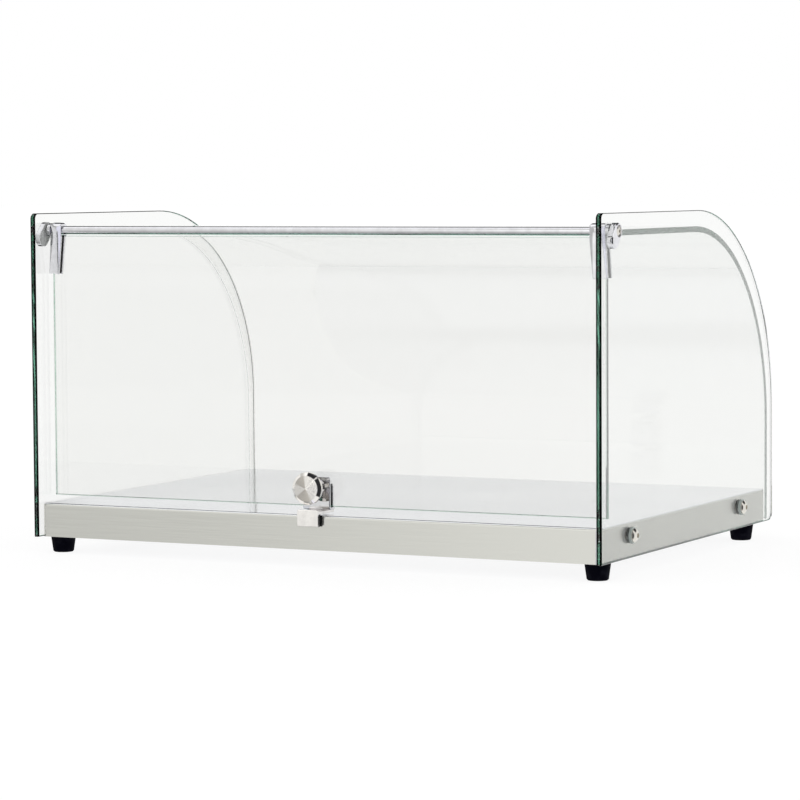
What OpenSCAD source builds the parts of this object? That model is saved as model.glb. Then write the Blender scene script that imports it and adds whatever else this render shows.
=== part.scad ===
// Countertop display case: two side glasses, a bent top-and-back pane and a folded steel base,
// with a flat front door that hangs from a cross rod by two clamps.
// Millimetres. The origin is on the counter, below the middle of the case.
// X runs to the right, Y to the back and Z up. The door faces -Y.

/* [Side glasses] */
// Width of the case over the outer faces of the side glasses
case_w = 550; // [400:1:800]
// Depth of the side glasses, front to back
case_d = 400; // [350:1:520]
// Height of the side glasses
panel_h = 288; // [250:1:360]
// Thickness of every pane
glass_t = 5; // [4:0.5:6]
// Radius of the large corner at the top rear
panel_arc_r = 184; // [120:1:200]
// Radius of the small corner at the top front
panel_nose_r = 5; // [2:0.5:10]
// Radius of the corner at the bottom rear
panel_heel_r = 8; // [2:0.5:16]
// Width of the arris ground along the free edges of every pane
arris = 0.7; // [0.3:0.1:1]

/* [Bent pane] */
// How far the top of the bent pane lies below the top of the side glasses
pane_drop = 14; // [10:0.5:22]
// How far its back lies inside the rear edges of the side glasses
pane_inset = 11; // [8:0.5:20]
// Outer radius of its bend
pane_bend_r = 178; // [110:1:190]
// Height of its lower rear edge above the bottom of the side glasses
pane_tail = 2; // [1:0.5:12]
// Gap between its front edge and the hinge barrels
pane_gap = 3.4; // [2.5:0.1:8]
// Thickness of the clear bond along each side of it
bond_t = 0.5; // [0.3:0.1:1]

/* [Base] */
// Height of the base
base_h = 30; // [26:1:40]
// How far its front lies behind the front edges of the side glasses
base_setback = 6; // [5:0.5:9]
// Thickness of the base sheet
sheet_t = 1; // [0.8:0.1:1.5]
// Outside radius of the folds
fold_r = 2.5; // [2:0.5:4]
// Width of the flanges turned in at the bottom
flange_w = 28; // [26:1:36]
// Thickness of the seal between the base and the bent pane
seal_t = 0.5; // [0.3:0.1:1]
// Height of the seal
seal_h = 20; // [12:1:21]

/* [Base bolts] */
// Distance of the front bolts from the front edges of the side glasses
bolt_front = 63.5; // [50:0.5:90]
// Distance of the rear bolts from the rear edges of the side glasses
bolt_rear = 82; // [60:1:120]
// Depth of the bolts below the top of the base
bolt_drop = 11; // [9:0.5:12]
// Diameter of the bolts
bolt_d = 6; // [5:0.5:6]
// Length of the bolts under the head
bolt_l = 18; // [16:1:24]
// Diameter of the bolt heads
bolt_head_d = 12; // [10:0.5:13]
// Height of the bolt heads
bolt_head_h = 4; // [3:0.5:5]
// Diameter of the washers under the heads
bolt_washer_d = 14; // [13.5:0.5:18]
// Thickness of those washers
bolt_washer_t = 2; // [1:0.5:2.5]
// Diameter of the holes in the side glasses
bolt_hole_d = 10; // [9:0.5:11]
// Diameter of the pads between the side glasses and the base
side_pad_d = 13; // [12:0.5:18]
// Thickness of those pads
side_pad_t = 0.5; // [0.3:0.1:1]
// Width of the nuts across the flats
bolt_nut_af = 10; // [10:0.5:11]
// Height of the nuts
bolt_nut_h = 5; // [4:0.5:6]

/* [Hinge rod] */
// Diameter of the rod
rod_d = 7; // [6.5:0.1:8]
// Distance of the rod's axis from the front edges of the side glasses
rod_setback = 25; // [24:0.5:30]
// Depth of the rod's axis below the top of the side glasses
rod_drop = 15; // [14:0.5:18]
// Diameter of the bolts in its ends
rod_bolt_d = 4; // [3:0.5:4.5]
// How far those bolts reach into the rod
rod_bolt_reach = 12; // [8:1:20]
// Diameter of their heads
rod_head_d = 10; // [8:0.5:10.5]
// Height of their heads
rod_head_h = 3.6; // [2.6:0.2:4]
// Diameter of the rod's holes in the side glasses
rod_hole_d = 8; // [7:0.5:10]
// Length of the collars that space the hinge clamps from the side glasses
collar_l = 3; // [2:0.5:5]
// Diameter of the collars
collar_d = 12; // [10:0.5:13]

/* [Rod keepers] */
// Diameter of each end of a keeper
keeper_d = 14; // [13.5:0.5:15]
// Thickness of a keeper
keeper_t = 4.9; // [4:0.1:6]
// How far the lobe lies in front of the rod's axis
keeper_fore = 6.5; // [4:0.5:8]
// How far the lobe lies below the rod's axis
keeper_low = 7.5; // [5:0.5:10]
// Chamfer round its outer face
keeper_chamfer = 0.9; // [0.3:0.1:1.2]
// How far a bolt head stands out of its seat in the keeper
keeper_proud = 0.6; // [0.2:0.1:1]
// Thickness of the gasket between keeper and glass
gasket_t = 0.5; // [0.3:0.1:1]

/* [Door] */
// Gap between the door glass and each side glass
door_side_gap = 3.5; // [3.3:0.1:5]
// Gap between the rod and the door glass
door_top_gap = 1.5; // [1.2:0.1:3]
// Gap between the base and the door glass
door_bottom_gap = 6; // [5.6:0.1:10]

/* [Hinge clamps] */
// Width of a clamp along the rod
clamp_w = 11; // [9.5:0.5:11]
// Length of a clamp below the rod's axis
clamp_l = 39; // [30:1:50]
// Diameter of its barrel round the rod
barrel_d = 11.2; // [10.8:0.1:12]
// Height of the barrel's crown centre above the rod's axis
crown_up = 1; // [0.6:0.1:2]
// Corner radius of the crown, seen from the front
crown_r = 2.8; // [1:0.1:2.8]
// Thickness of a jaw beside the rod
jaw_t = 2.2; // [2:0.1:2.6]
// How much thinner a jaw is at its lower end
jaw_taper = 0.5; // [0:0.1:0.8]
// How much narrower a clamp is at its lower end
clamp_taper = 1; // [0:0.1:2.5]
// How far its lower end leans out towards the side glass
clamp_splay = 2; // [0:0.1:2]
// Fall of the front face from its ridge to its sides
ridge_fall = 1; // [0.4:0.1:1.1]
// Width of the flat ridge
ridge_w = 1.6; // [0.6:0.2:4]
// Thickness of the pads between jaws and glass
pad_t = 0.5; // [0.3:0.1:1]
// Diameter of the set screws
set_screw_d = 4; // [3:0.5:4]
// Length of the set screws
set_screw_l = 4; // [3.5:0.5:6]
// Depth of the upper set screws below the rod's axis
set_screw_top = 9.5; // [8.5:0.5:14]
// Height of the lower set screws above the clamps' lower ends
set_screw_low = 6; // [4:0.5:10]

/* [Door clip and stop] */
// Width of the clip on the door's lower edge
clip_w = 26; // [22:1:36]
// Height of the clip's front plate above the door's lower edge
clip_up = 26; // [24:1:34]
// Height of its rear plate above the door's lower edge
clip_back_up = 20; // [16:1:24]
// Thickness of the clip
clip_t = 2; // [2:0.1:2.5]
// Corner radius of its plates
clip_r = 3; // [1:0.5:5]
// Outer radius of the bends under the glass
clip_bend_r = 3; // [1:0.5:3]
// Chamfer along the sides and tops of its plates
clip_edge = 0.5; // [0.3:0.1:0.8]
// Thickness of the liner between clip and glass
liner_t = 0.5; // [0.3:0.1:1]
// Width of the stop
stop_w = 20; // [16:1:22]
// Place of its middle, to the right of the knob's axis
stop_x = 2; // [-2:0.5:2]
// Thickness of the stop's lip and of its tongue under the clip
stop_t = 2.2; // [1.8:0.1:2.4]
// How far the stop's lip reaches below the top of the base
lip_drop = 9.5; // [8:0.5:14]
// Height of the lip's top above the tongue
lip_up = 1.5; // [1.5:0.1:3]
// Corner radius of the lip, seen from the front
lip_corner_r = 1.5; // [0.5:0.1:1.5]
// Distance of the lip's front from the front edges of the side glasses
lip_front = 0.3; // [0:0.1:1]
// Corner radius at the lower rear edge of the bumper behind the lip
bumper_r = 2.5; // [1:0.5:2.5]
// Diameter of the screws that hold the stop
stop_screw_d = 3; // [2.5:0.5:3]
// Spacing of those screws
stop_screw_gap = 10; // [9:0.5:11]

/* [Knob] */
// Diameter of the knob
knob_d = 28; // [24:1:30]
// Height of its axis above the door's lower edge
knob_up = 17; // [16:0.5:18]
// Distance of its face from the front edges of the side glasses
knob_front = 0.4; // [0:0.1:4]
// Diameter of its turned face
knob_face_d = 22; // [18:0.5:23]
// Rise of the face to its middle
knob_cone_h = 1; // [0.4:0.1:2]
// Depth of the bevel from face to rim
knob_bevel_h = 2; // [1:0.1:3]
// Height of the rim
knob_rim_h = 2.4; // [1:0.1:3]
// Depth of the slope from rim to neck
knob_slope_h = 3; // [1:0.1:3.5]
// Diameter of the neck
knob_neck_d = 10; // [8:0.5:12]
// Diameter of the foot against the clip
knob_foot_d = 15; // [12.5:0.5:16]
// Height of the foot
knob_foot_h = 2; // [1:0.5:3]
// Diameter of the knob's screw
knob_screw_d = 4; // [3:0.5:4]
// How far the screw reaches into the knob
knob_screw_reach = 10; // [6:0.5:12]

/* [Feet] */
// Height of the feet
foot_h = 15; // [10:1:20]
// Diameter of a foot at the top
foot_top_d = 22.5; // [18:0.5:23]
// Diameter of a foot at the floor
foot_low_d = 18.5; // [15:0.5:19]
// Distance of a foot's axis from the base's side
foot_in_x = 9; // [8:0.5:14]
// Distance of the front feet's axes from the base's front
foot_in_front = 19.5; // [12:0.5:24]
// Distance of the rear feet's axes from the base's rear
foot_in_rear = 26.5; // [12:0.5:30]
// Diameter of the foot screws
foot_screw_d = 4; // [3:0.5:5]
// Diameter of the foot screws' heads
foot_head_d = 8; // [7:0.5:9]
// Height of those heads
foot_head_h = 3; // [2:0.5:3.5]
// Depth of the recess in a foot's underside
foot_recess = 7; // [5:0.5:7]

/* [Fits] */
// Radial clearance of the hinge barrels on the rod
run_fit = 0.05; // [0.02:0.01:0.1]
// Radial clearance of screws and sleeves in their holes
screw_fit = 0.1; // [0.05:0.05:0.2]
// End play between a hinge clamp and its collar
end_play = 0.2; // [0.1:0.1:0.5]
// Clearance above the door glass in a clamp's slot
slot_fit = 0.3; // [0.1:0.1:0.5]

/* [Hidden] */
$fn = 64;
eps = 0.5;

// Places shared by the whole case
outer_x = case_w / 2;
inner_x = outer_x - glass_t;
front_y = -case_d / 2;
rear_y = case_d / 2;
case_z = foot_h;
top_z = case_z + panel_h;
base_top_z = case_z + base_h;
base_x = inner_x - side_pad_t;
base_front_y = front_y + base_setback;
rod_y = front_y + rod_setback;
rod_z = top_z - rod_drop;

// Bent pane
pane_x = inner_x - bond_t;
pane_front_y = rod_y + barrel_d / 2 + pane_gap;
pane_rear_y = rear_y - pane_inset;
pane_top_z = top_z - pane_drop;
pane_low_z = case_z + pane_tail;
base_rear_y = pane_rear_y - glass_t - seal_t;

// Base bolts and feet
bolt_ys = [front_y + bolt_front, rear_y - bolt_rear];
bolt_z = base_top_z - bolt_drop;
foot_x = base_x - foot_in_x;
foot_ys = [base_front_y + foot_in_front, base_rear_y - foot_in_rear];
foot_washer_t = 0.8;
foot_nut_h = 3.2;
foot_nut_af = foot_screw_d + 3;
washer_lip = 2.5;

// Door
door_x = inner_x - door_side_gap;
door_top_z = rod_z - rod_d / 2 - door_top_gap;
door_low_z = base_top_z + door_bottom_gap;
door_y = rod_y - glass_t / 2;
clamp_out_x = inner_x - collar_l - end_play;
clamp_mid_x = clamp_out_x - clamp_w / 2;
slot_half = glass_t / 2 + pad_t;
jaw_y = slot_half + jaw_t;
slot_top = -rod_d / 2 - door_top_gap + slot_fit;
set_screw_zs = [-set_screw_top, set_screw_low - clamp_l];
lean_z = -collar_d / 2 - 1;
lean_angle = -atan2(clamp_splay, clamp_l + lean_z);
pad_margin = 0.6;
flat_cut = 0.1;

// Clip, stop and knob
clip_front_y = door_y - liner_t - clip_t;
clip_back_y = door_y + glass_t + liner_t + clip_t;
clip_low_z = door_low_z - liner_t - clip_t;
stop_low_z = clip_low_z - stop_t;
lip_y = front_y + lip_front;
lip_back_y = lip_y + stop_t;
lip_low_z = base_top_z - lip_drop;
lip_top_z = clip_low_z + lip_up;
stop_head_h = 1.3;
clip_set_screw_l = clip_t + 1.5;
clip_set_screw_z = door_low_z + 12;
knob_z = door_low_z + knob_up;
knob_face_y = front_y + knob_front;
knob_l = clip_front_y - knob_face_y;

// A rectangle with its lower left corner at the origin and a radius for each corner
module plate(w, h, low_left, low_right, top_right, top_left) {
    difference() {
        square([w, h]);
        corner_cut(low_left);
        translate([w, 0]) mirror([1, 0]) corner_cut(low_right);
        translate([w, h]) mirror([1, 0]) mirror([0, 1]) corner_cut(top_right);
        translate([0, h]) mirror([0, 1]) corner_cut(top_left);
    }
}

// The waste outside a round corner that lies at the origin
module corner_cut(r) {
    if (r > 0)
        difference() {
            translate([-eps, -eps]) square(r + eps);
            translate([r, r]) circle(r);
        }
}

// A Y-Z outline drawn out along X from x
module along_x(x, length) {
    translate([x, 0, 0]) rotate([90, 0, 90]) linear_extrude(length) children();
}

// An X-Z outline drawn out along Y from y
module along_y(y, length) {
    translate([0, y + length, 0]) rotate([90, 0, 0]) linear_extrude(length) children();
}

// A round bar along X from x
module bar_x(x, y, z, d, length) {
    translate([x, y, z]) rotate([0, 90, 0]) cylinder(d = d, h = length);
}

// A round bar along Y from y
module bar_y(x, y, z, d, length) {
    translate([x, y, z]) rotate([-90, 0, 0]) cylinder(d = d, h = length);
}

// The same piece on the left and on the right
module both_sides() {
    children();
    mirror([1, 0, 0]) children();
}

// A ring along X from x
module ring_x(x, y, z, d, hole_d, length) {
    difference() {
        bar_x(x, y, z, d, length);
        bar_x(x - eps, y, z, hole_d, length + 2 * eps);
    }
}

// A button-head bolt along Z, its head above z = 0 and its shank below
module button_bolt(head_d, head_h, shank_d, shank_l) {
    rim_h = head_h * 0.25;
    dome_h = head_h - rim_h;
    dome_r = (head_d * head_d / 4 + dome_h * dome_h) / (2 * dome_h);
    socket_af = shank_d * 0.66;
    difference() {
        intersection() {
            cylinder(d = head_d, h = head_h);
            translate([0, 0, head_h - dome_r]) sphere(dome_r);
        }
        translate([0, 0, head_h * 0.45]) hexagon(socket_af, head_h);
    }
    translate([0, 0, -shank_l]) cylinder(d = shank_d, h = shank_l);
}

// A hexagonal prism on z = 0, given its width across the flats
module hexagon(af, h) {
    cylinder(d = af / cos(30), h = h, $fn = 6);
}

// A set screw along Z from z = 0, with its socket at the top
module set_screw(d, length) {
    difference() {
        cylinder(d = d, h = length);
        translate([0, 0, length - d / 2]) hexagon(d / 2, length);
    }
}

// A countersunk screw along Z, its flat head on z = 0 and its shank above
module flat_screw(d, head_h, length) {
    difference() {
        union() {
            cylinder(d1 = d + 2 * head_h, d2 = d, h = head_h);
            translate([0, 0, head_h]) cylinder(d = d, h = length - head_h);
        }
        translate([0, 0, -head_h / 2]) hexagon(d * 0.6, head_h);
    }
}

// The hole that takes a countersunk screw
module flat_screw_hole(d, head_h, length) {
    cylinder(d1 = d + 2 * head_h, d2 = d, h = head_h);
    translate([0, 0, -eps]) cylinder(d = d + 2 * head_h, h = eps);
    translate([0, 0, head_h]) cylinder(d = d, h = length);
}

// Base

// The base's outer block, taken in all round by t
module base_block(t) {
    r = fold_r - t;
    w = 2 * (base_x - t);
    d = base_rear_y - base_front_y - 2 * t;
    h = base_h - 2 * t;
    intersection() {
        translate([-w / 2, base_front_y + t, case_z + t]) linear_extrude(h) plate(w, d, r, r, r, r);
        along_x(-w / 2, w) translate([base_front_y + t, case_z + t]) plate(d, h, 0, 0, r, r);
        along_y(base_front_y + t, d) translate([-w / 2, case_z + t]) plate(w, h, 0, 0, r, r);
    }
}

module base_tray() {
    color("silver") difference() {
        base_block(0);
        base_block(sheet_t);
        translate([-base_x + flange_w, base_front_y + flange_w, case_z - eps])
            cube([2 * (base_x - flange_w), base_rear_y - base_front_y - 2 * flange_w, sheet_t + 2 * eps]);
        for (y = bolt_ys)
            bar_x(-base_x - eps, y, bolt_z, bolt_d + 2 * screw_fit, 2 * (base_x + eps));
        for (x = [-foot_x, foot_x], y = foot_ys)
            translate([x, y, case_z - eps])
                cylinder(d = foot_screw_d + 2 * screw_fit, h = sheet_t + 2 * eps);
    }
}

// Glass

// Cross section of a flat pane of width w, an arris at each of its four corners
module pane_section(w) {
    polygon([[arris, 0], [w - arris, 0], [w, arris], [w, glass_t - arris],
        [w - arris, glass_t], [arris, glass_t], [0, glass_t - arris], [0, arris]]);
}

// A flat pane of the size w by h in X and Y, its lower left corner at the origin
module pane_blank(w, h) {
    intersection() {
        translate([0, h, 0]) rotate([90, 0, 0]) linear_extrude(h) pane_section(w);
        rotate([90, 0, 90]) linear_extrude(w) pane_section(h);
    }
}

// The waste at a pane's round corner, which lies at the origin, with the arrises that run round it
module pane_corner_cut(r) {
    difference() {
        translate([-eps, -eps, -eps]) cube([r + eps, r + eps, glass_t + 2 * eps]);
        translate([r, r, 0]) rotate_extrude()
            polygon([[0, -2 * eps], [r - arris, -2 * eps], [r - arris, 0], [r, arris],
                [r, glass_t - arris], [r - arris, glass_t], [r - arris, glass_t + 2 * eps],
                [0, glass_t + 2 * eps]]);
    }
}

module side_glass() {
    difference() {
        translate([inner_x, front_y, case_z]) rotate([90, 0, 90]) difference() {
            pane_blank(case_d, panel_h);
            translate([case_d, 0, 0]) mirror([1, 0, 0]) pane_corner_cut(panel_heel_r);
            translate([case_d, panel_h, 0]) mirror([1, 0, 0]) mirror([0, 1, 0]) pane_corner_cut(panel_arc_r);
            translate([0, panel_h, 0]) mirror([0, 1, 0]) pane_corner_cut(panel_nose_r);
        }
        for (y = bolt_ys)
            bar_x(inner_x - eps, y, bolt_z, bolt_hole_d, glass_t + 2 * eps);
        bar_x(inner_x - eps, rod_y, rod_z, rod_hole_d, glass_t + 2 * eps);
    }
}

module left_side_glass() { color("lightcyan", 0.4) mirror([1, 0, 0]) side_glass(); }

module right_side_glass() { color("lightcyan", 0.4) side_glass(); }

// The bent pane's Y-Z outline: flat top, quarter bend and straight back, with arrises at both ends
module pane_outline() {
    w = pane_rear_y - pane_front_y;
    h = pane_top_z - pane_low_z;
    translate([pane_front_y, pane_low_z]) difference() {
        plate(w, h, 0, 0, pane_bend_r, 0);
        translate([-eps, -eps]) plate(w - glass_t + eps, h - glass_t + eps, 0, 0, pane_bend_r - glass_t, 0);
        for (corner = [[0, h], [0, h - glass_t], [w, 0], [w - glass_t, 0]])
            translate(corner) rotate(45) square(arris * sqrt(2), center = true);
    }
}

module curved_glass() { color("azure", 0.4) along_x(-pane_x, 2 * pane_x) pane_outline(); }

module glass_bond() { along_x(pane_x, bond_t) pane_outline(); }

module left_glass_bond() { color("honeydew") mirror([1, 0, 0]) glass_bond(); }

module right_glass_bond() { color("honeydew") glass_bond(); }

module rear_seal_strip() {
    seal_x = base_x - fold_r - 2;
    seal_low_z = case_z + (base_h - fold_r - seal_h) / 2 + 1;
    color("whitesmoke") translate([-seal_x, base_rear_y, seal_low_z]) cube([2 * seal_x, seal_t, seal_h]);
}

// Base bolts

module side_pads() {
    color("dimgray") both_sides() for (y = bolt_ys)
        ring_x(base_x, y, bolt_z, side_pad_d, bolt_d + 2 * screw_fit, side_pad_t);
}

module base_bolt_sleeves() {
    color("whitesmoke") both_sides() for (y = bolt_ys)
        ring_x(inner_x, y, bolt_z, bolt_hole_d, bolt_d + 2 * screw_fit, glass_t);
}

module base_bolt_washers() {
    color("dimgray") both_sides() for (y = bolt_ys)
        ring_x(outer_x, y, bolt_z, bolt_washer_d, bolt_d + 2 * screw_fit, bolt_washer_t);
}

module base_bolts() {
    color("gainsboro") both_sides() for (y = bolt_ys)
        translate([outer_x + bolt_washer_t, y, bolt_z]) rotate([0, 90, 0])
            button_bolt(bolt_head_d, bolt_head_h, bolt_d, bolt_l);
}

module base_bolt_nuts() {
    color("gray") both_sides() for (y = bolt_ys)
        difference() {
            translate([base_x - sheet_t - bolt_nut_h, y, bolt_z]) rotate([0, 90, 0])
                hexagon(bolt_nut_af, bolt_nut_h);
            bar_x(base_x - sheet_t - bolt_nut_h - eps, y, bolt_z, bolt_d, bolt_nut_h + 2 * eps);
        }
}

// Hinge rod

module hinge_rod() {
    color("lavender") difference() {
        bar_x(-inner_x, rod_y, rod_z, rod_d, 2 * inner_x);
        both_sides()
            bar_x(inner_x - rod_bolt_reach - eps, rod_y, rod_z, rod_bolt_d, rod_bolt_reach + 2 * eps);
    }
}

module rod_collars() {
    color("gainsboro") both_sides()
        ring_x(inner_x - collar_l, rod_y, rod_z, collar_d, rod_d + 2 * run_fit, collar_l);
}

module rod_bolt_sleeves() {
    color("whitesmoke") both_sides()
        ring_x(inner_x, rod_y, rod_z, rod_hole_d, rod_bolt_d + 2 * screw_fit, glass_t);
}

// A bar with round ends along Z from z = 0, from the origin to a second centre, chamfered at the top
module lobe(d, dx, dy, h, chamfer) {
    reach = sqrt(dx * dx + dy * dy);
    r = d / 2;
    section = [[-r, 0], [r, 0], [r, h - chamfer], [r - chamfer, h], [chamfer - r, h], [-r, h - chamfer]];
    rotate([0, 0, atan2(dy, dx)]) {
        for (x = [0, reach]) translate([x, 0, 0]) {
            cylinder(d = d, h = h - chamfer);
            translate([0, 0, h - chamfer]) cylinder(r1 = r, r2 = r - chamfer, h = chamfer);
        }
        rotate([90, 0, 90]) linear_extrude(reach) polygon(section);
    }
}

// Places a piece drawn on z = 0 on the outer face of the right side glass, on the rod's axis.
// Its X then points forward and its Y down.
module at_rod_end(x) {
    translate([x, rod_y, rod_z]) rotate([0, 90, 0]) rotate([0, 0, -90]) children();
}

module keeper_gaskets() {
    color("whitesmoke") both_sides() at_rod_end(outer_x) difference() {
        lobe(keeper_d, keeper_fore, keeper_low, gasket_t, 0.1);
        translate([0, 0, -eps]) cylinder(d = rod_bolt_d + 2 * screw_fit, h = gasket_t + 2 * eps);
    }
}

module rod_keeper() {
    seat_h = keeper_t + keeper_proud - rod_head_h;
    at_rod_end(outer_x + gasket_t) difference() {
        lobe(keeper_d, keeper_fore, keeper_low, keeper_t, keeper_chamfer);
        translate([0, 0, -eps]) cylinder(d = rod_bolt_d + 2 * screw_fit, h = keeper_t);
        translate([0, 0, seat_h]) cylinder(d = rod_head_d + 2 * screw_fit, h = keeper_t);
    }
}

module left_rod_keeper() { color("gainsboro") mirror([1, 0, 0]) rod_keeper(); }

module right_rod_keeper() { color("gainsboro") rod_keeper(); }

module rod_bolts() {
    head_x = outer_x + gasket_t + keeper_t + keeper_proud - rod_head_h;
    color("gainsboro") both_sides() translate([head_x, rod_y, rod_z]) rotate([0, 90, 0])
        button_bolt(rod_head_d, rod_head_h, rod_bolt_d, head_x - inner_x + rod_bolt_reach);
}

// Feet

module foot(x, y) {
    rim = 1;
    color("#2b2b2b") translate([x, y, 0]) difference() {
        union() {
            cylinder(d1 = foot_low_d - 2 * rim, d2 = foot_low_d, h = rim);
            translate([0, 0, rim]) cylinder(d1 = foot_low_d, d2 = foot_top_d, h = foot_h - rim);
        }
        translate([0, 0, -eps]) cylinder(d = foot_head_d + 1, h = foot_recess + eps);
        translate([0, 0, -eps]) cylinder(d = foot_screw_d + 2 * screw_fit, h = foot_h + 2 * eps);
    }
}

module foot_front_left() { foot(-foot_x, foot_ys[0]); }

module foot_front_right() { foot(foot_x, foot_ys[0]); }

module foot_rear_left() { foot(-foot_x, foot_ys[1]); }

module foot_rear_right() { foot(foot_x, foot_ys[1]); }

module at_feet() {
    for (x = [-foot_x, foot_x], y = foot_ys) translate([x, y, 0]) children();
}

module foot_screws() {
    shank_l = foot_h - foot_recess + sheet_t + foot_washer_t + foot_nut_h + 1;
    color("gainsboro") at_feet() translate([0, 0, foot_recess]) mirror([0, 0, 1])
        button_bolt(foot_head_d, foot_head_h, foot_screw_d, shank_l);
}

module foot_washers() {
    color("gainsboro") at_feet() translate([0, 0, case_z + sheet_t]) difference() {
        cylinder(d = foot_screw_d + 2 * washer_lip, h = foot_washer_t);
        translate([0, 0, -eps]) cylinder(d = foot_screw_d + 2 * screw_fit, h = foot_washer_t + 2 * eps);
    }
}

module foot_nuts() {
    color("gray") at_feet() translate([0, 0, case_z + sheet_t + foot_washer_t]) difference() {
        hexagon(foot_nut_af, foot_nut_h);
        translate([0, 0, -eps]) cylinder(d = foot_screw_d, h = foot_nut_h + 2 * eps);
    }
}

// Door

module door_glass() {
    color("azure", 0.4) translate([-door_x, door_y + glass_t, door_low_z]) rotate([90, 0, 0])
        pane_blank(2 * door_x, door_top_z - door_low_z);
}

// Leans the leg of the right clamp out towards the side glass, from below the collar down
module leaning() {
    translate([0, 0, lean_z]) rotate([0, lean_angle, 0]) translate([0, 0, -lean_z]) children();
}

// Cross section of a clamp: a ridge in front and chamfered edges behind
module clamp_plan() {
    half = clamp_w / 2;
    front = max(jaw_y, barrel_d / 2) - flat_cut;
    chamfer = 0.6;
    polygon([[-half, ridge_fall - front], [-ridge_w / 2, -front], [ridge_w / 2, -front],
        [half, ridge_fall - front], [half, front - chamfer], [half - chamfer, front],
        [chamfer - half, front], [-half, front - chamfer]]);
}

// The clamp's barrel round the rod, with the upper corners of its front rounded
module clamp_head() {
    half = clamp_w / 2;
    intersection() {
        bar_x(-half, 0, crown_up, barrel_d, clamp_w);
        along_y(-barrel_d, 2 * barrel_d) translate([-half, crown_up - barrel_d / 2])
            plate(clamp_w, barrel_d, 0, 0, crown_r, crown_r);
        translate([0, 0, -barrel_d]) linear_extrude(2 * barrel_d) clamp_plan();
    }
}

// Its two jaws between the heights low and high, thinner downwards, and narrower on their inner side
module clamp_jaws(low, high) {
    half = clamp_w / 2;
    low_y = jaw_y - jaw_taper;
    intersection() {
        along_x(-half, clamp_w) polygon([[-jaw_y, 0], [jaw_y, 0], [low_y, -clamp_l], [-low_y, -clamp_l]]);
        along_y(-barrel_d, 2 * barrel_d)
            polygon([[-half, 0], [half, 0], [half, -clamp_l], [clamp_taper - half, -clamp_l], [-half, lean_z]]);
        translate([0, 0, low]) linear_extrude(high - low) clamp_plan();
    }
}

// The right hinge clamp, about the rod's axis at the middle of the clamp
module clamp_body() {
    difference() {
        union() {
            clamp_head();
            clamp_jaws(lean_z, 0);
            leaning() clamp_jaws(-clamp_l, lean_z + eps);
        }
        bar_x(-clamp_w, 0, 0, rod_d + 2 * run_fit, 2 * clamp_w);
        translate([-clamp_w, -slot_half, -clamp_l - 2 * eps])
            cube([2 * clamp_w, 2 * slot_half, slot_top + clamp_l + 2 * eps]);
        leaning() for (z = set_screw_zs)
            bar_y(0, 0, z, set_screw_d, 2 * jaw_y);
    }
}

module at_clamp() { translate([clamp_mid_x, rod_y, rod_z]) children(); }

module right_hinge_clamp() { color("silver") at_clamp() clamp_body(); }

module left_hinge_clamp() { color("silver") mirror([1, 0, 0]) at_clamp() clamp_body(); }

module clamp_pads() {
    pad_h = clamp_l + slot_top - 2 * pad_margin;
    pad_w = clamp_w - clamp_taper - 2 * pad_margin;
    at_clamp() leaning() for (y = [-slot_half, glass_t / 2])
        translate([clamp_w / 2 - pad_margin - pad_w, y, pad_margin - clamp_l]) cube([pad_w, pad_t, pad_h]);
}

module right_clamp_pads() { color("dimgray") clamp_pads(); }

module left_clamp_pads() { color("dimgray") mirror([1, 0, 0]) clamp_pads(); }

module clamp_set_screws() {
    color("gray") both_sides() at_clamp() leaning() for (z = set_screw_zs)
        translate([0, slot_half, z]) rotate([-90, 0, 0]) set_screw(set_screw_d, set_screw_l);
}

// Clip on the lower edge of the door

// One plate of the clip, which reaches up above the glass's edge, with its bend and the floor behind it.
// Its outer face lies on y = 0 and its underside on z = 0.
module clip_half(up) {
    depth = clip_back_y - clip_front_y - clip_t;
    tall = clip_t + liner_t + up;
    half = clip_w / 2;
    intersection() {
        along_x(-half, clip_w) difference() {
            plate(depth, tall, clip_bend_r, 0, 0, clip_edge);
            translate([clip_t, clip_t]) square([depth, tall]);
        }
        along_y(0, depth) translate([-half, 0]) plate(clip_w, tall, 0, 0, clip_r, clip_r);
        linear_extrude(tall) polygon([[-half, clip_edge], [clip_edge - half, 0], [half - clip_edge, 0],
            [half, clip_edge], [half, depth], [-half, depth]]);
    }
}

module door_clip() {
    color("silver") difference() {
        union() {
            translate([0, clip_front_y, clip_low_z]) clip_half(clip_up);
            translate([0, clip_back_y, clip_low_z]) mirror([0, 1, 0]) clip_half(clip_back_up);
        }
        at_knob_screw() flat_screw_hole(knob_screw_d, clip_t - 0.2, clip_t);
        bar_y(0, clip_back_y - clip_t - eps, clip_set_screw_z, set_screw_d, clip_t + 2 * eps);
        at_stop_screws() cylinder(d = stop_screw_d, h = stop_t + clip_t + eps);
    }
}

// A liner of one bent strip between the clip and the glass
module clip_liner() {
    liner_w = clip_w - 2 * clip_r;
    up = clip_up - clip_r;
    back_up = clip_back_up - clip_r;
    y0 = door_y - liner_t;
    color("dimgray") translate([-liner_w / 2, 0, door_low_z - liner_t]) {
        translate([0, y0, 0]) cube([liner_w, glass_t + 2 * liner_t, liner_t]);
        translate([0, y0, 0]) cube([liner_w, liner_t, liner_t + up]);
        translate([0, door_y + glass_t, 0]) cube([liner_w, liner_t, liner_t + back_up]);
    }
}

module clip_set_screw() {
    color("gray") translate([0, door_y + glass_t + liner_t, clip_set_screw_z]) rotate([-90, 0, 0])
        set_screw(set_screw_d, clip_set_screw_l);
}

// Knob

// Places a screw that points forward from the back of the clip's front plate
module at_knob_screw() {
    translate([0, clip_front_y + clip_t, knob_z]) rotate([90, 0, 0]) children();
}

module knob_screw() {
    color("gray") at_knob_screw() flat_screw(knob_screw_d, clip_t - 0.2, clip_t + knob_screw_reach);
}

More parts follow.
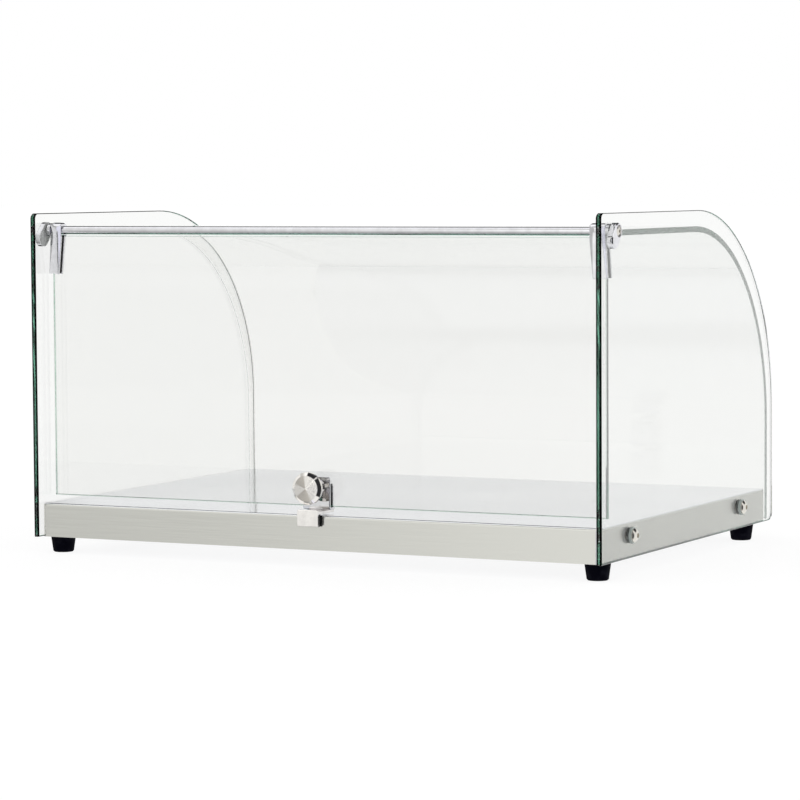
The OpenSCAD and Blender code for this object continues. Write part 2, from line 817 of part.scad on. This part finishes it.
// Half section of the knob: x is the radius, y the distance behind the middle of the face
module knob_section() {
    r = knob_d / 2;
    face_r = knob_face_d / 2;
    bevel = knob_cone_h + knob_bevel_h;
    rim = bevel + knob_rim_h;
    slope = rim + knob_slope_h;
    neck_r = knob_neck_d / 2;
    foot_r = knob_foot_d / 2;
    polygon([[0, 0], [face_r, knob_cone_h], [r, bevel], [r, rim], [neck_r, slope],
        [neck_r, knob_l - knob_foot_h], [foot_r, knob_l - knob_foot_h], [foot_r, knob_l], [0, knob_l]]);
}

module knob() {
    color("whitesmoke") difference() {
        translate([0, knob_face_y, knob_z]) rotate([-90, 0, 0]) rotate_extrude() knob_section();
        bar_y(0, clip_front_y - knob_screw_reach - eps, knob_z, knob_screw_d, knob_screw_reach + 2 * eps);
    }
}

// Stop below the clip

// Places screws that point up from the underside of the stop's tongue
module at_stop_screws() {
    for (x = [stop_x - stop_screw_gap / 2, stop_x + stop_screw_gap / 2])
        translate([x, rod_y, stop_low_z]) children();
}

module door_stop() {
    left_x = stop_x - stop_w / 2;
    lip_h = lip_top_z - lip_low_z;
    lip_edge_r = 0.8;
    color("gainsboro") difference() {
        union() {
            intersection() {
                along_x(left_x, stop_w) translate([lip_y, lip_low_z])
                    plate(stop_t, lip_h, lip_edge_r, lip_edge_r, lip_edge_r, lip_edge_r);
                along_y(lip_y, stop_t) translate([left_x, lip_low_z])
                    plate(stop_w, lip_h, lip_corner_r, lip_corner_r, lip_corner_r, lip_corner_r);
            }
            translate([left_x, lip_back_y - 1, stop_low_z]) cube([stop_w, clip_back_y - lip_back_y + 1, stop_t]);
        }
        at_stop_screws() flat_screw_hole(stop_screw_d, stop_head_h, stop_t);
    }
}

module stop_screws() {
    color("gray") at_stop_screws() flat_screw(stop_screw_d, stop_head_h, stop_t + clip_t);
}

// A rubber block between the lip and the front of the base
module stop_bumper() {
    bumper_w = stop_w - 1;
    bumper_t = base_front_y - lip_back_y;
    r = min(bumper_r, bumper_t);
    color("#3a3a3a") along_x(stop_x - bumper_w / 2, bumper_w) translate([lip_back_y, lip_low_z])
        plate(bumper_t, stop_low_z - lip_low_z, 0, r, 0, 0);
}

base_tray();
left_side_glass();
right_side_glass();
curved_glass();
left_glass_bond();
right_glass_bond();
rear_seal_strip();
side_pads();
base_bolt_sleeves();
base_bolt_washers();
base_bolts();
base_bolt_nuts();
hinge_rod();
rod_collars();
rod_bolt_sleeves();
keeper_gaskets();
left_rod_keeper();
right_rod_keeper();
rod_bolts();
foot_front_left();
foot_front_right();
foot_rear_left();
foot_rear_right();
foot_screws();
foot_washers();
foot_nuts();
door_glass();
left_hinge_clamp();
right_hinge_clamp();
left_clamp_pads();
right_clamp_pads();
clamp_set_screws();
door_clip();
clip_liner();
clip_set_screw();
knob();
knob_screw();
door_stop();
stop_screws();
stop_bumper();
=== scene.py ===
"""Finishes, light and camera for the countertop bread display bin."""

import math

import bpy
from mathutils import Matrix, Vector


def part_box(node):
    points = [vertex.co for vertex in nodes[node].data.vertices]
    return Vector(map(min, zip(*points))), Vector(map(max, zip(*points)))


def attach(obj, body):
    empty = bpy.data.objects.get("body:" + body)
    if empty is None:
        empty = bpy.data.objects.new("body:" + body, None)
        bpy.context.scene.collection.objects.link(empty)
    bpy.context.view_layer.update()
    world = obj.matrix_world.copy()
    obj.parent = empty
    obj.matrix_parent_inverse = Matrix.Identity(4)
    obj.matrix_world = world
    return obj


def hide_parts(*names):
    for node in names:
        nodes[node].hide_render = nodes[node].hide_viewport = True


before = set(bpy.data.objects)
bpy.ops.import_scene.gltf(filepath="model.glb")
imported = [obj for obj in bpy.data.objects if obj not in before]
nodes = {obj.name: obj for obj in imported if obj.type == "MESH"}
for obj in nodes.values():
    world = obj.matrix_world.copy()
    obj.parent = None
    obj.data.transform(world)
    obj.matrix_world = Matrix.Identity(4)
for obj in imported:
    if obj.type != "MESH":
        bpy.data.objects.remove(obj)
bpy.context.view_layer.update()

MM = 0.001

# Camera, in the row frame: where it stands, how it is turned, and its lens on a 36 mm sensor
CAMERA_AT = (1.3276, -2.6516, 0.3329)
CAMERA_YAW = math.radians(26.76)
CAMERA_DOWN = math.radians(3.885)
CAMERA_ROLL = math.radians(-0.35)
CAMERA_LENS = 147.5
CAMERA_REACH = 100
SENSOR = 36.0

# Light levels, and how often light may bounce on its way through the panes
STUDIO_WHITE = 1.0
CEILING_WHITE = 1.2
DIFFUSE_LIGHT = 0.95
LIGHT_BOUNCES = 64

# The floor: its size, how much of the light on it it throws back, and its own glow
FLOOR_SIZE = 60.0
FLOOR_ALBEDO = 0.15
FLOOR_GLOW = 0.88

# The darker parts of the room that bright metal mirrors
DARK_ROOM = (0.03, 0.03, 0.034)
DARK_GAP = (0.10, 0.10, 0.11)
COOL_WALL = (0.95, 0.95, 1.06)

# Glass: its refraction, what one pane lets through by its two faces, and the green of its body
# over long paths
GLASS_IOR = 1.5
PANE_TINT = (0.955, 0.945, 0.94)
GLASS_BODY = {"Color": (0.36, 0.75, 0.62, 1), "Density": 6.0}

# Bands along the polished edges: the least and most half width of the green core, and the
# width over which it goes into the band beside it
CORE_HALF = (0.35 * MM, 0.65 * MM)
BAND_SOFT = 0.45 * MM

# How far a face that lies on glass is moved off it
HAIR = 0.04 * MM

CHROME = (0.80, 0.80, 0.83)
FEET_BLACK = (0.0015, 0.0015, 0.004)
PAD_BLACK = (0.008, 0.009, 0.009)
NYLON = (0.80, 0.88, 0.85)

# The knob's pitch of turning rings, and its face as a share of its whole diameter
RING_PITCH = 0.35 * MM
KNOB_FACE_SHARE = 22 / 28


class Tree:
    """A node tree being built. add() makes a node. An input given as a socket is linked, and any
    other is set."""

    def __init__(self, tree):
        self.tree = tree
        tree.nodes.clear()

    def add(self, kind, inputs=None, **settings):
        node = self.tree.nodes.new("ShaderNode" + kind)
        for name, value in settings.items():
            setattr(node, name, value)
        for name, value in (inputs or {}).items():
            self.feed(node.inputs[name], value)
        return node

    def feed(self, socket, value):
        if isinstance(value, bpy.types.NodeSocket):
            self.tree.links.new(value, socket)
        else:
            socket.default_value = value

    def math(self, operation, a, b=0.0):
        return self.add("Math", {0: a, 1: b}, operation=operation).outputs[0]

    def product(self, a, b):
        return self.math("MULTIPLY", a, b)

    def vector(self, operation, a, b=(0, 0, 0)):
        node = self.add("VectorMath", {0: a, 1: b}, operation=operation)
        return node.outputs["Value" if operation == "LENGTH" else "Vector"]

    def split(self, vector):
        """The X, Y and Z of a vector, as three sockets."""
        parts = self.add("SeparateXYZ", {0: vector})
        return [parts.outputs[i] for i in range(3)]

    def join(self, x=0.0, y=0.0, z=0.0):
        return self.add("CombineXYZ", {0: x, 1: y, 2: z}).outputs[0]

    def ramp(self, value, low, high, to_low=0.0, to_high=1.0, smooth=True):
        """value between low and high, carried to between to_low and to_high."""
        kind = "SMOOTHSTEP" if smooth else "LINEAR"
        inputs = {
            "Value": value,
            "From Min": low,
            "From Max": high,
            "To Min": to_low,
            "To Max": to_high,
        }
        return self.add("MapRange", inputs, interpolation_type=kind).outputs["Result"]

    def between(self, share, a, b):
        """Number a, going over to number b as share goes from 0 to 1."""
        return self.add("Mix", {0: share, 2: a, 3: b}, data_type="FLOAT").outputs[0]

    def blend(self, share, a, b):
        """Colour a, going over to colour b as share goes from 0 to 1."""
        node = self.add("Mix", {0: share}, data_type="RGBA")
        for index, colour in ((6, a), (7, b)):
            linked = isinstance(colour, bpy.types.NodeSocket)
            self.feed(node.inputs[index], colour if linked else (*colour, 1))
        return node.outputs[2]

    def object_point(self, scale=(1, 1, 1)):
        """The object's own coordinates, stretched by scale."""
        return self.vector("MULTIPLY", self.add("TexCoord").outputs["Object"], scale)

    def noise(self, point, scale, detail=2.0, roughness=0.5):
        inputs = {"Vector": point, "Scale": scale, "Detail": detail, "Roughness": roughness}
        return self.add("TexNoise", inputs).outputs["Fac"]

    def bump(self, height, distance, strength, normal=None):
        inputs = {"Height": height, "Distance": distance, "Strength": strength}
        if normal is not None:
            inputs["Normal"] = normal
        return self.add("Bump", inputs).outputs["Normal"]

    def bevel(self, radius):
        """The direction of the surface, with its edges rounded to radius."""
        return self.add("Bevel", {"Radius": radius}, samples=6).outputs[0]

    def own_normal(self):
        """The absolute components of the face's direction in the object's own axes."""
        normal = self.add("NewGeometry").outputs["True Normal"]
        turned = self.add("VectorTransform", {0: normal}, vector_type="NORMAL",
                          convert_from="WORLD", convert_to="OBJECT").outputs[0]
        return self.split(self.vector("ABSOLUTE", turned))

    def surface(self, inputs):
        """A principled surface as the material's output."""
        self.output(self.add("BsdfPrincipled", inputs).outputs[0])

    def output(self, surface, volume=None):
        node = self.add("OutputMaterial", {"Surface": surface})
        if volume is not None:
            self.tree.links.new(volume, node.inputs["Volume"])


def new_material(name):
    material = bpy.data.materials.new(name)
    material.use_nodes = True
    return material, Tree(material.node_tree)


# Finishes


def glass_finish(t, edge, edge_colour, tint=None):
    """Clear glass whose edges, where edge is 1, are ground a little matt and have edge_colour.
    tint colours what it mirrors."""
    polish = t.noise(t.object_point(), 900, 3)
    inputs = {
        "Base Color": t.blend(edge, PANE_TINT, edge_colour),
        "Roughness": t.product(edge, t.ramp(polish, 0.3, 0.7, 0.02, 0.09)),
        "IOR": GLASS_IOR,
        "Transmission Weight": 1.0,
    }
    if tint is not None:
        inputs["Specular Tint"] = tint
    glass = t.add("BsdfPrincipled", inputs)
    inside = t.add("VolumeAbsorption", GLASS_BODY)
    t.output(glass.outputs[0], inside.outputs[0])


def clear_glass(name, thick_axis, middle, painted_band_colour, band_shine):
    """A flat pane of clear float glass. Its big faces are square to thick_axis, and its polished
    edges carry a painted reflection drawn across the edge by position: a pale green core, whose
    green is the glass's own, between painted bands of painted_band_colour, which mirror as much as
    band_shine. middle is the distance of the pane's middle from the object's origin along that
    axis."""
    material, t = new_material(name)
    edge = t.ramp(t.own_normal()[thick_axis], 0.75, 0.95, 1, 0)
    place = t.math("ABSOLUTE", t.split(t.object_point())[thick_axis])
    offset = t.math("ABSOLUTE", t.math("SUBTRACT", place, abs(middle)))
    # Painted reflection on the edge: a core in the middle of the thickness and painted bands of
    # reflection to each side of it
    core_half = t.ramp(t.noise(t.object_point(), 11, 2), 0.3, 0.7, *CORE_HALF)
    band = t.ramp(t.math("SUBTRACT", offset, core_half), 0, BAND_SOFT)
    depth = t.ramp(t.noise(t.object_point(), 7, 2), 0.35, 0.65)
    core = t.blend(depth, (1.0, 1.0, 1.0), (0.70, 0.84, 0.77))
    tint = t.blend(t.product(edge, band), (1, 1, 1), (band_shine,) * 3)
    glass_finish(t, edge, t.blend(band, core, painted_band_colour), tint)
    return material


def bent_glass(name):
    """The same glass in the bent pane, whose two side edges are square to X."""
    material, t = new_material(name)
    glass_finish(t, t.ramp(t.own_normal()[0], 0.5, 0.8), (0.27, 0.34, 0.31))
    return material


def brushed_steel(name):
    """Sheet brushed along X before it was folded, so that the grain runs down the side flanges.
    Each face gets its own colour: the side flanges are darker as painted shade, and the deck is
    paler and cooler as a painted reflection of the room.
    """
    material, t = new_material(name)
    side, front, deck = (t.ramp(part, 0.6, 0.8) for part in t.own_normal())
    x, y, z = t.split(t.object_point())
    along = t.between(side, x, z)
    across = t.between(front, y, z)
    grain_point = t.join(t.product(along, 14), t.product(across, 900))
    grain = t.noise(grain_point, 1.0, 5, 0.65)
    cloud = t.noise(t.object_point(), 9, 2)
    streak = t.ramp(grain, 0.3, 0.7)
    # One sheet, three colours by the way its faces point: the side flanges darker as painted
    # shade, the deck paler and bluer as a painted reflection
    on_front = t.blend(streak, (0.67, 0.67, 0.635), (0.71, 0.71, 0.672))
    painted_shade_side = t.blend(streak, (0.49, 0.49, 0.455), (0.535, 0.535, 0.50))
    painted_sheen_deck = t.blend(streak, (0.717, 0.73, 0.768), (0.75, 0.765, 0.80))
    rough_sheet = t.ramp(grain, 0.25, 0.75, 0.16, 0.22)
    rough_deck = t.ramp(cloud, 0.3, 0.7, 0.10, 0.14)
    t.surface({
        "Base Color": t.blend(deck, t.blend(side, on_front, painted_shade_side), painted_sheen_deck),
        "Metallic": 1.0,
        "Roughness": t.between(deck, rough_sheet, rough_deck),
        "Anisotropic": 0.6,
        "Tangent": t.vector("ADD", t.join(side, 0.0, front), (0, 0.001, 0)),
        "Normal": t.bump(grain, 0.000005, 0.4),
    })
    return material


def metal(name, colour, rough, wear=0.05, bump=0.00001, edge=0.3 * MM):
    """Plain bright metal with faint polishing marks, a little uneven shine and edges rounded to
    the radius edge."""
    material, t = new_material(name)
    marks = t.noise(t.object_point((1, 1, 0.15)), 1500, 3, 0.6)
    cloud = t.noise(t.object_point(), 160, 2)
    darker = tuple(0.9 * c for c in colour)
    t.surface({
        "Base Color": t.blend(t.ramp(cloud, 0.3, 0.7), darker, colour),
        "Metallic": 1.0,
        "Roughness": t.ramp(marks, 0.3, 0.7, rough, rough + wear),
        "Normal": t.bump(marks, bump, 0.4, t.bevel(edge)),
    })
    return material


def turned_steel(name, centre, face_radius):
    """Steel turned about an axis along Y: fine rings on its face, and polished outside them. Its
    face has painted shade and a painted highlight in wedges about its axis.
    """
    material, t = new_material(name)
    from_axis = t.vector("SUBTRACT", t.add("TexCoord").outputs["Object"], tuple(centre))
    flat = t.vector("MULTIPLY", from_axis, (1, 0, 1))
    radius = t.vector("LENGTH", flat)
    rings = t.math("SINE", t.product(radius, 2 * math.pi / RING_PITCH))
    uneven = t.ramp(t.noise(t.join(t.product(radius, 3000)), 1.0, 4, 0.7), 0.3, 0.7)
    on_face = t.ramp(radius, face_radius, face_radius + 0.3 * MM, 1, 0)

    # The turned face's reflection is painted into its colour in wedges about its axis: darker
    # wedges above and below are painted shade, and the wedge to the right is a painted highlight.
    # Each wedge rises and falls over these angles in degrees.
    arm_x, _, arm_z = t.split(flat)
    turn = t.product(t.math("ARCTAN2", arm_z, arm_x), 180 / math.pi)

    def wedge(rise, fall):
        return t.product(t.ramp(turn, *rise), t.ramp(turn, *fall, 1, 0))

    upper = wedge((92, 108), (150, 168))
    lower = wedge((-150, -135), (-75, -50))
    # The wedge to the right is a painted highlight, and the face is also made smoother there
    right = wedge((-38, -26), (42, 56))
    # The upper and lower wedges are painted shade
    painted_shade_wedges = t.product(t.math("MAXIMUM", upper, lower), on_face)
    colour = t.blend(uneven, (0.82, 0.79, 0.75), (0.90, 0.88, 0.85))
    colour = t.blend(painted_shade_wedges, colour, t.blend(uneven, (0.48, 0.45, 0.41), (0.66, 0.63, 0.59)))
    colour = t.blend(t.product(right, on_face), colour, (1.0, 0.97, 0.93))
    t.surface({
        "Base Color": colour,
        "Metallic": 1.0,
        "Roughness": t.between(on_face, 0.05, t.ramp(right, 0, 1, 0.24, 0.12)),
        "Anisotropic": 0.85,
        "Tangent": t.vector("NORMALIZE", flat),
        "Normal": t.bump(t.product(rings, on_face), 0.000004, 0.6, t.bevel(0.4 * MM)),
    })
    return material


def rubber(name, colour, rough):
    """Matt moulded rubber with a fine grain and a paler bloom."""
    material, t = new_material(name)
    grain = t.noise(t.object_point(), 1800, 3, 0.6)
    bloom = t.noise(t.object_point(), 120, 3)
    paler = tuple(min(1, 1.8 * c + 0.004) for c in colour)
    t.surface({
        "Base Color": t.blend(t.ramp(bloom, 0.45, 0.75), colour, paler),
        "Roughness": t.ramp(grain, 0.3, 0.7, rough, rough + 0.15),
        "Specular IOR Level": 0.02,
        "Normal": t.bump(grain, 0.00006, 0.5),
    })
    return material


def soft_plastic(name, colour, rough, clear, ior):
    """Soft plastic with a cloudy body, which lets through as much light as clear says."""
    material, t = new_material(name)
    cloud = t.noise(t.object_point(), 700, 3)
    milkier = tuple(0.92 * c for c in colour)
    t.surface({
        "Base Color": t.blend(t.ramp(cloud, 0.3, 0.7), colour, milkier),
        "Roughness": t.ramp(cloud, 0.3, 0.7, rough, rough + 0.1),
        "Transmission Weight": clear,
        "IOR": ior,
    })
    return material


def paint(material, *names):
    for name in names:
        for slot in nodes[name].material_slots:
            slot.material = material


knob_low, knob_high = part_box("knob")
knob_centre = (knob_low + knob_high) / 2
knob_face_radius = 0.5 * KNOB_FACE_SHARE * (knob_high.x - knob_low.x)

side_low, side_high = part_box("right_side_glass")
door_low, door_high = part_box("door_glass")
side_middle = (side_low.x + side_high.x) / 2
door_middle = (door_low.y + door_high.y) / 2

# The side panes' edges get near-black painted reflection bands, and the door's edges get pale
# green ones
paint(clear_glass("side_glass", 0, side_middle, (0.0004, 0.001, 0.0008), 0.05),
      "left_side_glass", "right_side_glass")
paint(clear_glass("door_glass", 1, door_middle, (0.55, 0.66, 0.60), 1.0), "door_glass")
paint(bent_glass("bent_glass"), "curved_glass")
paint(brushed_steel("brushed_stainless"), "base_tray")
paint(metal("chrome", CHROME, 0.05),
      "hinge_rod", "rod_collars", "left_rod_keeper", "right_rod_keeper")
paint(metal("soft_edged_chrome", CHROME, 0.04, edge=0.8 * MM),
      "left_hinge_clamp", "right_hinge_clamp")
paint(metal("polished_stainless", (1.0, 0.975, 0.95), 0.08, 0.03), "door_stop")
paint(metal("mirror_chrome", (0.80, 0.80, 0.82), 0.025, 0.015, 0.000002), "door_clip")
paint(metal("stainless_bolt", (0.80, 0.77, 0.71), 0.12), "base_bolts", "rod_bolts")
paint(metal("zinc_steel", (0.60, 0.61, 0.60), 0.32, 0.12, 0.00003),
      "base_bolt_nuts", "foot_screws", "foot_washers", "foot_nuts", "clamp_set_screws",
      "clip_set_screw", "knob_screw", "stop_screws")
paint(turned_steel("turned_steel", knob_centre, knob_face_radius), "knob")
paint(rubber("foot_rubber", FEET_BLACK, 0.5),
      "foot_front_left", "foot_front_right", "foot_rear_left", "foot_rear_right")
paint(rubber("dark_rubber", PAD_BLACK, 0.5),
      "left_clamp_pads", "right_clamp_pads", "stop_bumper")
paint(soft_plastic("clear_nylon", NYLON, 0.3, 0.5, 1.5),
      "base_bolt_sleeves", "rod_bolt_sleeves")


def free_of_glass(name, new_name, body, axis, faces, material):
    """The piece called name, with its faces that lie on glass moved off it by a hair, so that
    light passes between them. faces gives the distance of each such face from the middle along
    axis, and the way off the glass."""
    node = nodes[name]
    mesh = node.data.copy()
    for vertex in mesh.vertices:
        place = abs(vertex.co[axis])
        for face, way in faces:
            if abs(place - face) < HAIR:
                vertex.co[axis] = math.copysign(place + way * HAIR, vertex.co[axis])
    freed = bpy.data.objects.new(new_name, mesh)
    bpy.context.scene.collection.objects.link(freed)
    mesh.materials.clear()
    mesh.materials.append(material)
    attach(freed, body)
    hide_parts(name)


bent_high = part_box("curved_glass")[1]
seal_low, seal_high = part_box("rear_seal_strip")
side_faces = [(side_low.x, -1), (side_high.x, 1)]
bond_faces = [(side_low.x, -1), (bent_high.x, 1)]
door_faces = [(-door_high.y, -1), (-door_low.y, 1)]
seal_faces = [(seal_low.y, 1), (seal_high.y, -1)]

silicone = soft_plastic("soft_silicone", (0.94, 0.97, 0.96), 0.2, 0.9, 1.41)
bond = soft_plastic("glass_bond", (0.72, 0.80, 0.76), 0.1, 1.0, 1.45)
white_pad = soft_plastic("white_silicone", (0.95, 0.96, 0.96), 0.4, 0.0, 1.41)
washer = soft_plastic("green_nylon", NYLON, 0.3, 0.5, 1.5)

for name, new_name, body, axis, faces, material, slot in (
    ("left_glass_bond", "left_clear_bond", "cabinet", 0, bond_faces, bond, "clear_silicone"),
    ("right_glass_bond", "right_clear_bond", "cabinet", 0, bond_faces, bond, "clear_silicone"),
    ("rear_seal_strip", "clear_rear_seal", "cabinet", 1, seal_faces, silicone, "clear_silicone"),
    ("side_pads", "clear_side_pads", "cabinet", 0, side_faces, silicone, "clear_silicone"),
    ("keeper_gaskets", "white_gaskets", "cabinet", 0, side_faces, white_pad, "clear_silicone"),
    ("base_bolt_washers", "clear_washers", "cabinet", 0, side_faces, washer, "clear_nylon"),
    ("clip_liner", "white_liner", "door", 1, door_faces, white_pad, "clear_silicone"),
):
    free_of_glass(name, new_name, body, axis, faces, material)


# Studio


def studio_world():
    """The photographer's room: white to the eye and for matt surfaces. Bright metal also mirrors
    its darker parts. All angles are in degrees."""
    world = bpy.data.worlds.new("studio")
    bpy.context.scene.world = world
    world.use_nodes = True
    t = Tree(world.node_tree)
    x, y, z = t.split(t.vector("NORMALIZE", t.add("TexCoord").outputs["Generated"]))
    degree = math.pi / 180
    # Azimuth from straight ahead of the front towards the right, and elevation
    azimuth = t.math("DIVIDE", t.math("ARCTAN2", x, t.product(y, -1)), degree)
    elevation = t.math("DIVIDE", t.math("ARCSINE", z), degree)

    def window(value, low, high, soft):
        """1 between low and high, and 0 from soft outside them."""
        return t.product(t.ramp(value, low - soft, low), t.ramp(value, high, high + soft, 1, 0))

    def most(first, *others):
        for other in others:
            first = t.math("MAXIMUM", first, other)
        return first

    def grey(level, blue=None):
        return t.join(level, level, level if blue is None else blue)

    # A grey wall to the left, which grows brighter towards the front and upwards
    low_sides = t.ramp(elevation, 40, 50, 1, 0)
    far_wall = t.ramp(azimuth, -58, -33, 0.45, 0.76, False)
    near_wall = t.ramp(azimuth, -32, -20, 0, 0.38)
    below = t.ramp(elevation, -60, 0, 0.7, 1.03, False)
    upwards = t.ramp(elevation, 0, 50, 0, 0.5, False)
    wall = t.product(t.math("ADD", far_wall, near_wall), t.math("ADD", below, upwards))
    above = t.ramp(elevation, 35, 48, STUDIO_WHITE, CEILING_WHITE)
    on_wall = t.product(window(azimuth, -75, -20, 1), low_sides)
    door_gap = t.product(window(azimuth, -17, -13, 1.5), low_sides)
    cool_wall = t.product(window(azimuth, -10, 6, 4), low_sides)
    colour = t.blend(on_wall, grey(above), grey(wall, t.product(wall, 0.98)))
    colour = t.blend(cool_wall, colour, COOL_WALL)
    colour = t.blend(door_gap, colour, DARK_GAP)

    dark = most(
        t.product(window(azimuth, 25, 75, 4), window(elevation, -36, 80, 4)),
        t.product(window(azimuth, -145, -108, 3), window(elevation, -50, 20, 5)),
        t.product(window(azimuth, -38, 80, 4), t.ramp(elevation, 40, 45)),
        t.product(t.ramp(y, 0.1, 0.3), window(elevation, 30, 80, 6)),
    )
    mirrored = t.blend(dark, colour, DARK_ROOM)

    # Light that reaches the eye straight, through glass alone or by a matt surface stays white
    path = t.add("LightPath").outputs
    unmirrored = t.math("LESS_THAN", path["Glossy Depth"], 0.5)
    through_glass = t.product(path["Is Transmission Ray"], unmirrored)
    plain = most(path["Is Camera Ray"], through_glass, path["Is Diffuse Ray"])
    background = t.add("Background", {
        "Color": t.blend(plain, mirrored, (STUDIO_WHITE,) * 3),
        "Strength": t.between(path["Is Diffuse Ray"], 1.0, DIFFUSE_LIGHT),
    })
    t.add("OutputWorld", {"Surface": background.outputs[0]})


def studio_floor():
    """A white floor that keeps the object's shadow and goes over into the white background."""
    mesh = bpy.data.meshes.new("floor")
    half = FLOOR_SIZE / 2
    corners = [(-half, -half, 0), (half, -half, 0), (half, half, 0), (-half, half, 0)]
    mesh.from_pydata(corners, [], [(0, 1, 2, 3)])
    floor = bpy.data.objects.new("floor", mesh)
    bpy.context.scene.collection.objects.link(floor)
    material, t = new_material("white_floor")
    matt = t.add("BsdfDiffuse", {"Color": (*(FLOOR_ALBEDO,) * 3, 1)}).outputs[0]
    glow = t.add("Emission", {"Color": (1, 1, 1, 1), "Strength": FLOOR_GLOW}).outputs[0]
    t.output(t.add("AddShader", {0: matt, 1: glow}).outputs[0])
    mesh.materials.append(material)
    floor.visible_glossy = False


def camera():
    data = bpy.data.cameras.new("camera")
    data.sensor_width = SENSOR
    data.lens = CAMERA_LENS
    data.clip_end = CAMERA_REACH
    seen = bpy.data.objects.new("camera", data)
    bpy.context.scene.collection.objects.link(seen)
    ahead = math.cos(CAMERA_DOWN)
    forward = Vector((-math.sin(CAMERA_YAW) * ahead, math.cos(CAMERA_YAW) * ahead,
                      -math.sin(CAMERA_DOWN)))
    level = Vector((math.cos(CAMERA_YAW), math.sin(CAMERA_YAW), 0))
    upright = level.cross(forward)
    right = math.cos(CAMERA_ROLL) * level + math.sin(CAMERA_ROLL) * upright
    up = right.cross(forward)
    turn = Matrix((right, up, -forward)).transposed().to_4x4()
    seen.matrix_world = Matrix.Translation(CAMERA_AT) @ turn
    bpy.context.scene.camera = seen


studio_world()
studio_floor()
camera()

scene = bpy.context.scene
scene.view_settings.view_transform = "Standard"
scene.cycles.max_bounces = LIGHT_BOUNCES
scene.cycles.transmission_bounces = LIGHT_BOUNCES
scene.cycles.glossy_bounces = LIGHT_BOUNCES
